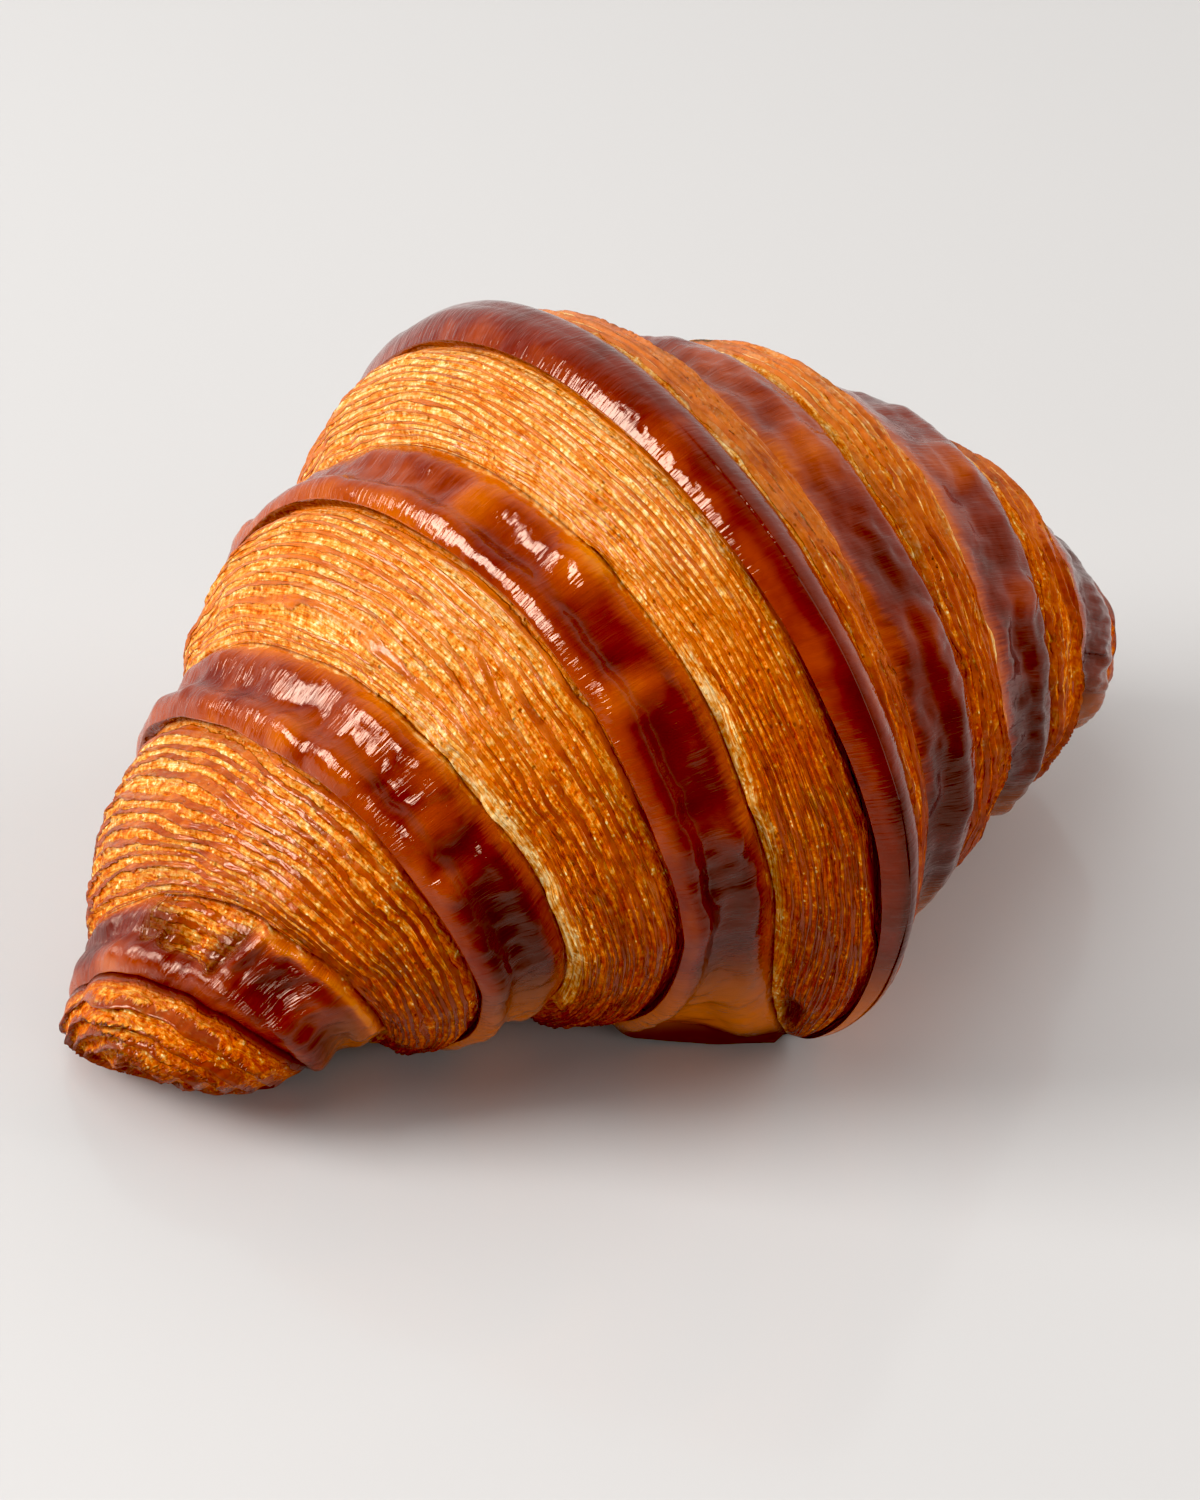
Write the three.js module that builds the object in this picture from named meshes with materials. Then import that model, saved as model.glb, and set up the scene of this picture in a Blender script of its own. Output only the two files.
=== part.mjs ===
// A plump rolled croissant, one solid. Lengths in millimetres, +Z up, the long axis along X.
//
// The roll is one strip of dough on each side of the middle. Each strip winds round the axis from the
// tucked tongue at the front of the underside to the nose (-X) or the tail (+X). A turn is counted from
// the front (0), over the top (0.25), down the back (0.5) and under the body (0.75).
// Across a strip the surface runs from its rolled lip over a glossy band to a crease, and from there up
// a laminated face to the lip of the turn before.
import * as THREE from 'three';

// Winding
const TURNS = 4;
const ROWS_PER_TURN = 48;
const TONGUE_TURN = -0.145;
const TONGUE_RADIUS = 52.7;

// Columns across one strip
const BAND_COLUMNS = 4;
const RIDGES = 6;
const FACE_COLUMNS = 2 * RIDGES;
const COLUMNS = BAND_COLUMNS + FACE_COLUMNS;

// Section through the roll: an ellipse that is wider than high and is flat underneath
const HEIGHT_RATIO = 0.80;
const NOSE_TAPER = 0.24;
const TAIL_TAPER = -0.03;
const TAPER_START = -34.0;
const TAPER_END = -6.0;
const FLOOR_BLEND = 4.0;
const FLOOR_RELIEF = 0.22;
const FLOOR_PRESS = 0.8;

// Axis of the roll
const AXIS_REACH = 75.0;
const AXIS_MIDDLE_HEIGHT = 34.2;
const NOSE_DROP = 27.4;
const NOSE_DROP_POWER = 2.1;
const TAIL_DROP = 37.5;
const TAIL_DROP_POWER = 2.4;
const AXIS_SLANT = -1.3;
const NOSE_BOW = 0.6;
const TAIL_BOW = -0.4;

// Relief
const LIP_ROLL = 1.1;
const BAND_SAG = 0.5;
const FACE_BULGE = 2.0;
const RIDGE_DEPTH = 1.0;
const SURFACE_SWELL = 0.45;

// Lips and creases: turn, position along X, radius of the roll there
const LEFT_LIP = [
  [TONGUE_TURN, -10.6, 53.0], [0.0, -12.9, 53.0], [0.25, -19.3, 53.0], [0.5, -22.2, 52.5],
  [0.855, -28.5, 43.0], [1.0, -31.7, 41.8], [1.25, -37.6, 41.8], [1.5, -46.6, 41.0],
  [1.855, -48.4, 32.0], [2.0, -50.5, 30.0], [2.25, -59.6, 29.6], [2.5, -62.4, 29.0],
  [2.855, -62.3, 21.5], [3.0, -68.0, 18.0], [3.25, -78.0, 13.5], [3.5, -80.0, 12.5],
  [3.855, -62.3, 21.5],
];
const LEFT_CREASE = [
  [0.855, -10.6, 53.0], [0.9, -15.5, 46.5], [1.0, -20.3, 43.4], [1.25, -28.1, 43.1], [1.5, -35.1, 42.6],
  [1.855, -38.0, 34.0], [2.0, -40.6, 31.9], [2.25, -50.0, 31.2], [2.5, -55.0, 30.4],
  [2.855, -53.5, 25.0], [3.0, -59.0, 22.0], [3.25, -70.0, 17.5], [3.5, -75.0, 15.0],
  [3.855, -62.3, 21.5],
];
const RIGHT_LIP = [
  [TONGUE_TURN, -10.6, 53.0], [0.0, -8.1, 52.7], [0.25, -11.0, 52.7], [0.5, -8.7, 52.0],
  [0.855, 4.6, 42.0], [1.0, 7.7, 40.7], [1.25, 8.3, 40.2], [1.5, 8.5, 40.0],
  [1.855, 25.0, 29.5], [2.0, 27.8, 28.4], [2.25, 32.0, 27.6], [2.5, 31.0, 27.6],
  [2.855, 45.0, 17.5], [3.0, 47.5, 15.0], [3.25, 50.5, 12.3], [3.5, 50.0, 12.3],
  [3.855, 45.0, 17.5],
];
const RIGHT_CREASE = [
  [0.855, -10.6, 53.0], [0.9, -6.9, 46.5], [1.0, -4.4, 44.0], [1.25, -2.2, 43.7], [1.5, -1.8, 43.0],
  [1.855, 13.0, 35.6], [2.0, 15.7, 34.6], [2.25, 18.4, 34.4], [2.5, 19.0, 33.6],
  [2.855, 34.0, 23.4], [3.0, 36.2, 22.3], [3.25, 40.6, 22.0], [3.5, 40.6, 21.4],
  [3.855, 45.0, 17.5],
];

// Ends
const CAP_RINGS = 4;
const NOSE_CAP = new THREE.Vector3(-7.5, -4.5, -0.5);
const TAIL_CAP = new THREE.Vector3(5.0, 0.0, -1.5);
const CAP_RIDGE = 0.1;

const CRUST_COLOUR = 0xb4692a;
const CRUST_ROUGHNESS = 0.42;

function tangent(keys, index, value) {
  const before = keys[Math.max(index - 1, 0)];
  const after = keys[Math.min(index + 1, keys.length - 1)];
  return (after[value] - before[value]) / (after[0] - before[0]);
}

// Smooth value of a key list at a turn
function along(keys, turn, value) {
  let k = 0;
  while (k < keys.length - 2 && turn > keys[k + 1][0]) k += 1;
  const span = keys[k + 1][0] - keys[k][0];
  const w = Math.min(Math.max((turn - keys[k][0]) / span, 0), 1);
  const w2 = w * w;
  const w3 = w2 * w;
  return keys[k][value] * (2 * w3 - 3 * w2 + 1)
    + tangent(keys, k, value) * span * (w3 - 2 * w2 + w)
    + keys[k + 1][value] * (3 * w2 - 2 * w3)
    + tangent(keys, k + 1, value) * span * (w3 - w2);
}

function axisHeight(x) {
  const reach = Math.abs(x) / AXIS_REACH;
  if (x < 0) return AXIS_MIDDLE_HEIGHT - NOSE_DROP * reach ** NOSE_DROP_POWER;
  return AXIS_MIDDLE_HEIGHT - TAIL_DROP * reach ** TAIL_DROP_POWER;
}

function axisOffset(x) {
  const reach = x / AXIS_REACH;
  const bow = x < 0 ? NOSE_BOW : TAIL_BOW;
  return AXIS_SLANT * reach + bow * reach * reach;
}

// Height above the table: the body rests on a flat that blends into its sides
function settle(height) {
  if (height >= FLOOR_BLEND) return height;
  if (height <= -FLOOR_BLEND) return 0;
  return (height + FLOOR_BLEND) ** 2 / (4 * FLOOR_BLEND);
}

function settleSlope(height) {
  return Math.min(Math.max((height + FLOOR_BLEND) / (2 * FLOOR_BLEND), 0), 1);
}

// Share of the relief that is left at a place: what lies on the table is pressed
function reliefAt(x, radius, turn) {
  const free = axisHeight(x) + HEIGHT_RATIO * radius * Math.sin(2 * Math.PI * turn);
  const slope = settleSlope(free);
  return slope + (1 - slope) * FLOOR_RELIEF;
}

// Soft uneven swelling of baked dough
function swell(x, turn) {
  const angle = 2 * Math.PI * turn;
  return SURFACE_SWELL * (Math.sin(0.11 * x + 3 * angle + 0.7)
    + 0.6 * Math.sin(0.19 * x - 2 * angle + 2.1) + 0.5 * Math.sin(0.07 * x + 5 * angle));
}

// A point of the surface. Outer is the radius of the smooth body over this place
function place(x, radius, outer, turn) {
  const angle = 2 * Math.PI * turn;
  const lift = Math.sin(angle);
  const low = Math.max(-lift, 0);
  const body = outer + swell(x, turn);
  const groove = outer - radius;
  const free = axisHeight(x) + HEIGHT_RATIO * body * lift;
  const relief = reliefAt(x, body, turn);
  const toTail = Math.min(Math.max((x - TAPER_START) / (TAPER_END - TAPER_START), 0), 1);
  const taper = NOSE_TAPER + (TAIL_TAPER - NOSE_TAPER) * toTail;
  const across = (body - groove) * Math.cos(angle) * (1 - taper * low);
  const z = settle(free) - HEIGHT_RATIO * groove * lift * relief;
  return new THREE.Vector3(x, axisOffset(x) - across, Math.max(z - FLOOR_PRESS, 0));
}

// Profile of a band from its lip (0) to its crease (1): a rolled lip, then a slight sag
function bandHeight(part, width) {
  const roll = Math.sin(Math.PI * Math.min(part / 0.5, 1)) * LIP_ROLL;
  const sag = Math.sin(Math.PI * part) * BAND_SAG;
  return (roll - sag) * Math.min(width / 8, 1);
}

// Profile of a laminated face from its crease (0) to the lip above (1): convex with ridges
function faceHeight(part, column, size) {
  const bulge = Math.sin(Math.PI * part ** 0.85) * FACE_BULGE;
  const ends = Math.min(part, 1 - part) > 0.01 ? 1 : 0;
  const ridge = (column % 2 === 1 ? 0.5 : -0.5) * RIDGE_DEPTH * ends;
  return (bulge + ridge) * Math.min(size / 14, 1);
}

function buildStrip(lip, crease, side, shared, vertices) {
  const rows = TURNS * ROWS_PER_TURN;
  const grid = [];
  for (let j = 0; j <= rows; j += 1) {
    const turn = TONGUE_TURN + j / ROWS_PER_TURN;
    const lipX = along(lip, turn, 1);
    const lipR = along(lip, turn, 2);
    const row = [];
    const closing = j === rows;
    const first = j < ROWS_PER_TURN;
    const innerId = first ? shared[j] : grid[j - ROWS_PER_TURN][0].id;
    const inner = first ? vertices[innerId] : grid[j - ROWS_PER_TURN][0];
    let creaseX = inner.x;
    let creaseR = inner.r;
    if (!first && j > ROWS_PER_TURN && !closing) {
      creaseX = along(crease, turn, 1);
      creaseR = along(crease, turn, 2);
    }
    const bandDx = creaseX - lipX;
    const bandDr = creaseR - lipR;
    const bandLength = Math.hypot(bandDx, bandDr);
    const faceDx = inner.x - creaseX;
    const faceDr = inner.r - creaseR;
    const faceLength = Math.hypot(faceDx, faceDr);
    for (let i = 0; i <= COLUMNS; i += 1) {
      if (j === 0) {
        row.push({ id: shared[0], x: vertices[shared[0]].x, r: vertices[shared[0]].r });
        continue;
      }
      if (closing) {
        const start = grid[j - ROWS_PER_TURN][0];
        row.push({ id: start.id, x: start.x, r: start.r });
        continue;
      }
      if (i === COLUMNS || (i >= BAND_COLUMNS && j <= ROWS_PER_TURN)) {
        row.push({ id: innerId, x: inner.x, r: inner.r });
        continue;
      }
      let x = lipX;
      let r = lipR;
      if (i > 0 && i <= BAND_COLUMNS) {
        const part = i / BAND_COLUMNS;
        const height = bandHeight(part, bandLength) * reliefAt(lipX, lipR, turn);
        x = lipX + bandDx * part + side * height * bandDr / bandLength;
        r = lipR + bandDr * part + height * Math.abs(bandDx) / bandLength;
      } else if (i > BAND_COLUMNS) {
        const column = i - BAND_COLUMNS;
        const part = column / FACE_COLUMNS;
        const height = faceHeight(part, column, faceLength) * reliefAt(inner.x, inner.r, turn);
        x = creaseX + faceDx * part + side * height * Math.abs(faceDr) / faceLength;
        r = creaseR + faceDr * part + height * Math.abs(faceDx) / faceLength;
      }
      const span = inner.x - lipX;
      const share = Math.abs(span) > 1e-6 ? Math.min(Math.max((x - lipX) / span, 0), 1) : 0;
      const outer = Math.max(lipR + (inner.r - lipR) * share, r);
      const point = place(x, r, outer, turn);
      vertices.push({ x, r, point });
      row.push({ id: vertices.length - 1, x, r });
    }
    grid.push(row);
  }
  return grid;
}

function addQuad(triangles, a, b, c, d) {
  if (a !== b && b !== c && c !== a) triangles.push([a, b, c]);
  if (a !== c && c !== d && d !== a) triangles.push([a, c, d]);
}

function stitch(grid, side, triangles) {
  for (let j = 0; j < grid.length - 1; j += 1) {
    for (let i = 0; i < COLUMNS; i += 1) {
      const a = grid[j][i].id;
      const b = grid[j][i + 1].id;
      const c = grid[j + 1][i + 1].id;
      const d = grid[j + 1][i].id;
      if (side < 0) addQuad(triangles, a, b, c, d);
      else addQuad(triangles, a, d, c, b);
    }
  }
}

// Rounded end inside the last lip
function addCap(grid, side, bulge, vertices, triangles) {
  const start = (TURNS - 1) * ROWS_PER_TURN;
  let ring = [];
  for (let j = 0; j < ROWS_PER_TURN; j += 1) ring.push(grid[start + j][0].id);
  const centre = new THREE.Vector3();
  ring.forEach((id) => centre.add(vertices[id].point));
  centre.divideScalar(ring.length);
  const outline = ring.map((id) => vertices[id].point.clone());
  const add = (point) => {
    point.z = Math.max(point.z, 0);
    vertices.push({ x: point.x, r: 0, point });
    return vertices.length - 1;
  };
  for (let k = 1; k <= CAP_RINGS; k += 1) {
    const inward = k / (CAP_RINGS + 1);
    const out = Math.sin(0.5 * Math.PI * inward ** 0.7) + (k % 2 === 0 ? CAP_RIDGE : -CAP_RIDGE);
    const next = outline.map((edge) => {
      const point = edge.clone().lerp(centre, inward * inward * 0.55 + inward * 0.45);
      point.addScaledVector(bulge, out);
      return add(point);
    });
    for (let j = 0; j < ROWS_PER_TURN; j += 1) {
      const m = (j + 1) % ROWS_PER_TURN;
      if (side > 0) addQuad(triangles, ring[j], next[j], next[m], ring[m]);
      else addQuad(triangles, ring[j], ring[m], next[m], next[j]);
    }
    ring = next;
  }
  const tip = centre.clone();
  tip.add(bulge);
  const apex = add(tip);
  for (let j = 0; j < ROWS_PER_TURN; j += 1) {
    const m = (j + 1) % ROWS_PER_TURN;
    if (side > 0) triangles.push([ring[j], apex, ring[m]]);
    else triangles.push([ring[j], ring[m], apex]);
  }
}

function buildCroissant() {
  const vertices = [];
  const triangles = [];
  // Line along the middle of the outermost turn, shared by both strips
  const shared = [];
  for (let j = 0; j < ROWS_PER_TURN; j += 1) {
    const turn = TONGUE_TURN + j / ROWS_PER_TURN;
    const x = 0.5 * (along(LEFT_LIP, turn, 1) + along(RIGHT_LIP, turn, 1));
    const r = TONGUE_RADIUS;
    vertices.push({ x, r, point: place(x, r, r, turn) });
    shared.push(vertices.length - 1);
  }
  const left = buildStrip(LEFT_LIP, LEFT_CREASE, -1, shared, vertices);
  const right = buildStrip(RIGHT_LIP, RIGHT_CREASE, 1, shared, vertices);
  stitch(left, -1, triangles);
  stitch(right, 1, triangles);
  addCap(left, -1, NOSE_CAP, vertices, triangles);
  addCap(right, 1, TAIL_CAP, vertices, triangles);
  const positions = [];
  vertices.forEach((vertex) => positions.push(vertex.point.x, vertex.point.y, vertex.point.z));
  const geometry = new THREE.BufferGeometry();
  geometry.setAttribute('position', new THREE.Float32BufferAttribute(positions, 3));
  geometry.setIndex(triangles.flat());
  geometry.computeBoundingBox();
  const middle = geometry.boundingBox.getCenter(new THREE.Vector3());
  geometry.translate(-middle.x, -middle.y, -geometry.boundingBox.min.z);
  geometry.computeVertexNormals();
  return geometry;
}

const crust = new THREE.MeshStandardMaterial({ color: CRUST_COLOUR, roughness: CRUST_ROUGHNESS, metalness: 0 });
const croissant = new THREE.Mesh(buildCroissant(), crust);
croissant.name = 'croissant';

const group = new THREE.Group();
group.name = 'croissant_part';
group.add(croissant);

export default group;
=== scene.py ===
# A plump rolled croissant on a pale floor. Blender 4.5, metres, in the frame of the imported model.
#
# The crust is the model's own surface at a finer step: on each side of the middle one strip of dough
# winds from the tucked tongue to the nose (-X) or the tail (+X). A turn is counted from the front (0),
# over the top (0.25), down the back (0.5) and under the body (0.75). Across a strip the surface runs
# from its rolled lip over a glossy band to a crease, then up a laminated face to the lip before.
import math

import bpy
import numpy as np
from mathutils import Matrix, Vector


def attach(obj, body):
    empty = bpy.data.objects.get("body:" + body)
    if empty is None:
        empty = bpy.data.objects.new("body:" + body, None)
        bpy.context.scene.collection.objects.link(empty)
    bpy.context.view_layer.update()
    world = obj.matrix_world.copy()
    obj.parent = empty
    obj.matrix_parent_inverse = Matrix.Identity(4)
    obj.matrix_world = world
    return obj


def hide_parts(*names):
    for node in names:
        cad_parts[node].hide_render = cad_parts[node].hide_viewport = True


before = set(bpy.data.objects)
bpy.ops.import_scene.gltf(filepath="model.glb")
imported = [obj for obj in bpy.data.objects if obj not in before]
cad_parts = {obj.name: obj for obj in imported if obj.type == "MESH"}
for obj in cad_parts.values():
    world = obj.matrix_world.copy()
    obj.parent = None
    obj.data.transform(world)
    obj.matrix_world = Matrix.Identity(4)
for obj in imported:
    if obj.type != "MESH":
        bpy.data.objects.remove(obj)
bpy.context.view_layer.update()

MM = 0.001

# Winding
TURNS = 4
ROWS = 420
TONGUE_TURN = -0.145
TONGUE_RADIUS = 52.7
BAND_COLUMNS = 26
BAND_SPACING = 1.45
FACE_COLUMNS = 100
COLUMNS = BAND_COLUMNS + FACE_COLUMNS
ARC_RADIUS = 40.0
TONGUE_FADE = (0.01, 0.12)
JOIN_FADE = 0.05

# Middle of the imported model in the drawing's own lengths
CENTRE_X = -15.27
CENTRE_Y = 0.65

# Section through the roll and its axis
HEIGHT_RATIO = 0.80
NOSE_TAPER = 0.24
TAIL_TAPER = -0.03
TAPER_START = -34.0
TAPER_END = -6.0
FLOOR_BLEND = 4.0
FLOOR_RELIEF = 0.22
FLOOR_PRESS = 0.8
AXIS_REACH = 75.0
AXIS_MIDDLE_HEIGHT = 34.2
NOSE_DROP = 27.4
NOSE_DROP_POWER = 2.1
TAIL_DROP = 37.5
TAIL_DROP_POWER = 2.4
AXIS_SLANT = -1.3
NOSE_BOW = 0.6
TAIL_BOW = -0.4

# Relief: the bead on a lip, the low second roll behind it, and the domed strip in the middle
LIP_ROLL = {-1: 1.7, 1: 2.0}
ROLL_WIDTH = {-1: 2.2, 1: 4.2}
ROLL_SHARE = 0.36
ROLL_FALL = 0.80
SECOND_ROLL = {-1: 0.9, 1: 0.45}
SECOND_ROLL_AT = 0.74
SECOND_ROLL_WIDTH = 0.15
LIP_UNDERCUT = 1.5
MIDDLE_DOME = 0.7
MIDDLE_ROLL = 2.3
MIDDLE_ROLL_WIDTH = 3.6
MIDDLE_SINK = 0.8
BAND_SAG = 0.5
FACE_BULGE = 2.0
BULGE_POWER = 0.85
SURFACE_SWELL = 0.45

# Swell of the whole surface: share, rate along X, waves round the roll, and phase
SWELLS = ((1.0, 0.11, 3, 0.7), (0.6, 0.19, -2, 2.1), (0.5, 0.07, 5, 0.0))

# Unevenness along a lip or crease: height and waves in a turn
LIP_SHIFTS = ((0.45, 11.0), (0.22, 31.0))
LIP_LIFTS = ((0.35, 9.0), (0.16, 27.0))
CREASE_SHIFTS = ((0.5, 17.0),)
CREASE_LIFTS = ((0.3, 13.0),)

# Lumps: height, length along the strip, and width across it
BAND_SWELL = (0.55, 11.0, 5.0)
BAND_LUMPS = ((0.38, 4.6, 3.0), (0.24, 2.1, 1.7))
BAND_WRINKLE = (0.07, 1.1, 4.0)
TAIL_WRINKLE = (0.26, 8.0, 1.5)
MIDDLE_LUMPS = ((0.42, 12.0, 6.0), (0.20, 4.0, 3.0))
FACE_LUMPS = ((0.50, 9.0, 5.0), (0.12, 1.9, 1.6))
CREST_LUMP = (0.75, 4.5, 2.2)
CAP_WANDER = (0.5, 12.0, 3.0)
RAGGED = (0.10, 3.0, 1.2)
TORN_LUMP = (1.0, 2.6, 1.1)

# Seeds of the noise
LEFT_SEED = 100
RIGHT_SEED = 200
MIDDLE_SEED = 61
TORN_SEED = 71

# Lips and creases: turn, position along X, radius of the roll there
LEFT_LIP = (
    (TONGUE_TURN, -10.6, 53.0), (0.0, -12.9, 53.0), (0.25, -19.3, 53.0), (0.5, -22.2, 52.5),
    (0.855, -28.5, 43.0), (1.0, -31.7, 41.8), (1.25, -37.6, 41.8), (1.5, -46.6, 41.0),
    (1.855, -48.4, 32.0), (2.0, -50.5, 30.0), (2.25, -59.6, 29.6), (2.5, -62.4, 29.0),
    (2.855, -62.3, 21.5), (3.0, -68.0, 18.0), (3.25, -78.0, 13.5), (3.5, -80.0, 12.5),
    (3.855, -62.3, 21.5),
)
LEFT_CREASE = (
    (0.855, -10.6, 53.0), (0.9, -15.5, 46.5), (1.0, -20.3, 43.4), (1.25, -28.1, 43.1), (1.5, -35.1, 42.6),
    (1.855, -38.0, 34.0), (2.0, -40.6, 31.9), (2.25, -50.0, 31.2), (2.5, -55.0, 30.4),
    (2.855, -53.5, 25.0), (3.0, -59.0, 22.0), (3.25, -70.0, 17.5), (3.5, -75.0, 15.0),
    (3.855, -62.3, 21.5),
)
RIGHT_LIP = (
    (TONGUE_TURN, -10.6, 53.0), (0.0, -8.1, 52.7), (0.25, -11.0, 52.7), (0.5, -8.7, 52.0),
    (0.855, 4.6, 42.0), (1.0, 7.7, 40.7), (1.25, 8.3, 40.2), (1.5, 8.5, 40.0),
    (1.855, 25.0, 29.5), (2.0, 27.8, 28.4), (2.25, 32.0, 27.6), (2.5, 31.0, 27.6),
    (2.855, 45.0, 17.5), (3.0, 47.5, 15.0), (3.25, 50.5, 12.3), (3.5, 50.0, 12.3),
    (3.855, 45.0, 17.5),
)
RIGHT_CREASE = (
    (0.855, -10.6, 53.0), (0.9, -6.9, 46.5), (1.0, -4.4, 44.0), (1.25, -2.2, 43.7), (1.5, -1.8, 43.0),
    (1.855, 13.0, 35.6), (2.0, 15.7, 34.6), (2.25, 18.4, 34.4), (2.5, 19.0, 33.6),
    (2.855, 34.0, 23.4), (3.0, 36.2, 22.3), (3.25, 40.6, 22.0), (3.5, 40.6, 21.4),
    (3.855, 45.0, 17.5),
)

# Layers that show in each laminated face, from the middle outwards
LEFT_LAYERS = (14.0, 13.0, 12.0)
RIGHT_LAYERS = (9.0, 9.0, 7.0)
LAYER_DEPTH = 0.85
FINE_DEPTH = 0.80
EDGE_WIDTHS = (0.16, 0.08)
EDGE_LEVEL = 0.42
PILLOW = 0.40

# Wander of the layers: share of a layer, length along the strip, and waves across the face
LAYER_WANDER = ((0.75, 38.0, 2.4), (0.40, 15.0, 5.0), (0.09, 5.0, 9.0))
UNEVEN_PITCH = 0.50

# Ends
CAP_RINGS = 40
CAP_LAYERS = 6.0
CAP_RIDGE = 0.14
CAP_REACH = 14.0
NOSE_CAP = (-7.5, -4.5, -0.5)
TAIL_CAP = (5.0, 0.0, -1.5)

# Torn skin near the nose: turns where it starts and ends, and part of the band that is open
TORN_START = (3.150, 3.160)
TORN_END = (3.272, 3.292)
TORN_PART = 0.36
TORN_SLANT_FROM = 3.215
TORN_SLANT = 1.2
TORN_DEPTH = 0.65
TORN_CRUMBS = 0.7
TORN_LAYER = 1.7
CURL_TURN = 3.145
CURL_HALF_TURN = 0.006
CURL_CREASE = (2.93, 2.99)
CURL_PART = 0.91
CURL_WIDTH = 0.055

# Dark places: the hollow beside the tongue, and the gap where the first lip stands off; both are sunk into
# the surface and painted with shade in the colour
HOLLOW_TURN = 0.897
HOLLOW_HALF_TURN = 0.018
HOLLOW_PART = 0.32
HOLLOW_WIDTH = 0.20
HOLLOW_DEPTH = 1.6
GAP_TURN = 1.04
GAP_HALF_TURN = 0.07
GAP_DEPTH = 1.1

# Blisters in the glossy bands: side, turn, part across the band, radius and height
BLISTER_RISE = 1.5
BLISTERS = (
    (-1, 2.20, 0.55, 6.0, 1.3), (-1, 2.16, 0.80, 4.5, 1.1), (-1, 2.13, 0.55, 4.0, 0.8),
    (-1, 2.24, 0.25, 3.5, 0.5), (-1, 2.09, 0.35, 3.0, 0.5), (-1, 1.19, 0.75, 4.5, 0.9),
    (-1, 1.25, 0.55, 4.0, 0.5), (-1, 1.13, 0.40, 4.0, 0.5), (-1, 1.05, 0.60, 5.0, 0.6),
    (-1, 3.15, 0.55, 4.5, 0.8), (-1, 3.05, 0.50, 4.0, 0.7), (1, 1.20, 0.55, 5.0, 0.7),
    (1, 1.10, 0.50, 4.5, 0.6), (1, 2.20, 0.50, 4.5, 0.7), (1, 2.10, 0.45, 4.0, 0.6),
    (-1, 1.42, 0.50, 5.0, 0.7), (1, 1.42, 0.50, 5.0, 0.7), (-1, 2.45, 0.50, 4.0, 0.6),
    (-1, 3.27, 0.28, 7.0, 1.1),
)


def tangents(keys, column):
    values = []
    for index in range(len(keys)):
        before = keys[max(index - 1, 0)]
        after = keys[min(index + 1, len(keys) - 1)]
        values.append((after[column] - before[column]) / (after[0] - before[0]))
    return np.array(values)


def along(keys, turn, column):
    """Smooth value of a key list at each turn."""
    turn = np.asarray(turn, float)
    at = np.array([key[0] for key in keys])
    value = np.array([key[column] for key in keys])
    slope = tangents(keys, column)
    k = np.clip(np.searchsorted(at, turn, side="left") - 1, 0, len(at) - 2)
    span = at[k + 1] - at[k]
    w = np.clip((turn - at[k]) / span, 0.0, 1.0)
    w2 = w * w
    w3 = w2 * w
    return (value[k] * (2 * w3 - 3 * w2 + 1) + slope[k] * span * (w3 - 2 * w2 + w)
            + value[k + 1] * (3 * w2 - 2 * w3) + slope[k + 1] * span * (w3 - w2))


def noise(a, b, seed):
    """Smooth noise from -1 to 1 on a plane, one unit to a cell."""
    table = np.random.default_rng(seed).uniform(-1.0, 1.0, (256, 256))
    a = np.asarray(a, float)
    b = np.asarray(b, float)
    a, b = np.broadcast_arrays(a, b)
    ia = np.floor(a).astype(int)
    ib = np.floor(b).astype(int)
    fa = a - ia
    fb = b - ib
    fa = fa * fa * fa * (fa * (6 * fa - 15) + 10)
    fb = fb * fb * fb * (fb * (6 * fb - 15) + 10)
    ia &= 255
    ib &= 255
    ja = (ia + 1) & 255
    jb = (ib + 1) & 255
    low = table[ia, ib] * (1 - fa) + table[ja, ib] * fa
    high = table[ia, jb] * (1 - fa) + table[ja, jb] * fa
    return low * (1 - fb) + high * fb


def smooth(value, low, high):
    t = np.clip((value - low) / (high - low), 0.0, 1.0)
    return t * t * (3 - 2 * t)


def axis_height(x):
    reach = np.abs(x) / AXIS_REACH
    nose = AXIS_MIDDLE_HEIGHT - NOSE_DROP * reach ** NOSE_DROP_POWER
    tail = AXIS_MIDDLE_HEIGHT - TAIL_DROP * reach ** TAIL_DROP_POWER
    return np.where(x < 0, nose, tail)


def axis_offset(x):
    reach = x / AXIS_REACH
    return AXIS_SLANT * reach + np.where(x < 0, NOSE_BOW, TAIL_BOW) * reach * reach


def settle(height):
    blend = (height + FLOOR_BLEND) ** 2 / (4 * FLOOR_BLEND)
    return np.where(height >= FLOOR_BLEND, height, np.where(height <= -FLOOR_BLEND, 0.0, blend))


def relief_at(x, radius, turn):
    """Share of the relief that is left: what lies on the table is pressed."""
    free = axis_height(x) + HEIGHT_RATIO * radius * np.sin(2 * np.pi * turn)
    slope = np.clip((free + FLOOR_BLEND) / (2 * FLOOR_BLEND), 0.0, 1.0)
    return slope + (1 - slope) * FLOOR_RELIEF


def swell(x, turn):
    angle = 2 * np.pi * turn
    return SURFACE_SWELL * sum(share * np.sin(rate * x + count * angle + phase)
                               for share, rate, count, phase in SWELLS)


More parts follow.
